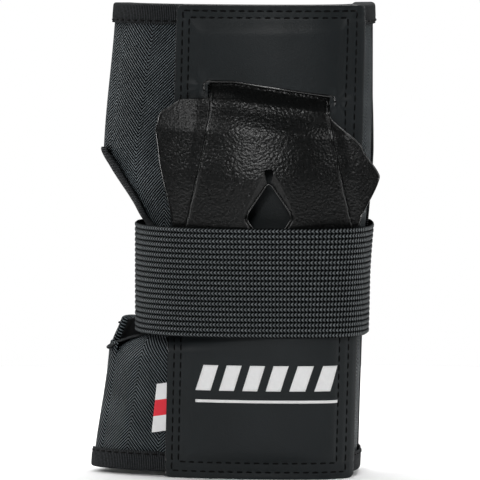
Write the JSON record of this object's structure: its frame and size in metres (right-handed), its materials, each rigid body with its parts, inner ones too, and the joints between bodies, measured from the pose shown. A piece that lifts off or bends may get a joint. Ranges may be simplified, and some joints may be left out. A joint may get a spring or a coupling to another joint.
{
  "type": "wrist guard",
  "caption": "Padded wrist guard for the left hand with a moulded palm splint, a wide elastic wrist strap and hook-and-loop closing flaps.",
  "frame": {"origin": "middle of the guard's footprint, on the surface that its cuff end stands on", "axes": "+Z from the cuff to the fingers, -Y out of the palm side, -X towards the thumb side"},
  "size_m": [0.1296, 0.0886, 0.2138],
  "materials": {
    "nylon_shell": "herringbone-woven nylon, matt black",
    "foam_sheet": "closed-cell foam sheet, dark grey",
    "lining_knit": "brushed knit lining, black",
    "pu_leather": "synthetic leather, satin charcoal black",
    "splint_plastic": "injection-moulded nylon, fine grained satin black",
    "binding_tape": "ribbed binding tape, black",
    "elastic_webbing": "ribbed woven elastic, black",
    "loop_tape": "brushed loop tape, black",
    "hook_tape": "moulded hook tape, black",
    "woven_label": "woven label, white and red stripes"
  },
  "bodies": {
    "wrap": {"palm_shell_fabric": "nylon_shell", "palm_foam": "foam_sheet", "palm_lining": "lining_knit", "back_shell_fabric": "nylon_shell", "back_foam": "foam_sheet", "back_lining": "lining_knit", "side_gusset": "elastic_webbing", "leather_palm_panel": "pu_leather", "palm_splint": "splint_plastic", "back_splint": "splint_plastic", "back_splint_cover": "pu_leather", "top_binding": "binding_tape", "cuff_binding": "binding_tape", "back_top_binding": "binding_tape", "back_cuff_binding": "binding_tape", "back_edge_binding": "binding_tape", "thumb_notch_binding": "binding_tape", "side_label": "woven_label", "hand_loop_field": "loop_tape", "wrist_loop_field": "loop_tape", "forearm_loop_field": "loop_tape", "strap_palm": "elastic_webbing", "strap_anchor": "pu_leather"},
    "strap_end": {"strap_tail": "elastic_webbing", "strap_hook_patch": "hook_tape", "strap_pull_tab": "pu_leather"},
    "hand_flap": {"hand_flap_shell_fabric": "nylon_shell", "hand_flap_foam": "foam_sheet", "hand_flap_lining": "lining_knit", "hand_flap_hook_patch": "hook_tape", "hand_flap_binding": "binding_tape"},
    "forearm_flap": {"forearm_flap_shell_fabric": "nylon_shell", "forearm_flap_foam": "foam_sheet", "forearm_flap_lining": "lining_knit", "forearm_flap_hook_patch": "hook_tape", "forearm_flap_binding": "binding_tape"}
  },
  "joints": [
    {"name": "strap_peel", "type": "hinge", "parent": "wrap", "child": "strap_end", "pos_m": [-0.04495, 0.02117, 0.0893], "axis": [0, 0, 1], "range_deg": [0, 140]},
    {"name": "hand_flap_fold", "type": "hinge", "parent": "wrap", "child": "hand_flap", "pos_m": [-0.0595, 0.01098, 0.1796], "axis": [0, 0, 1], "range_deg": [0, 150]},
    {"name": "forearm_flap_fold", "type": "hinge", "parent": "wrap", "child": "forearm_flap", "pos_m": [-0.0641, 0.01098, 0.0318], "axis": [0, 0, 1], "range_deg": [0, 150]}
  ]
}
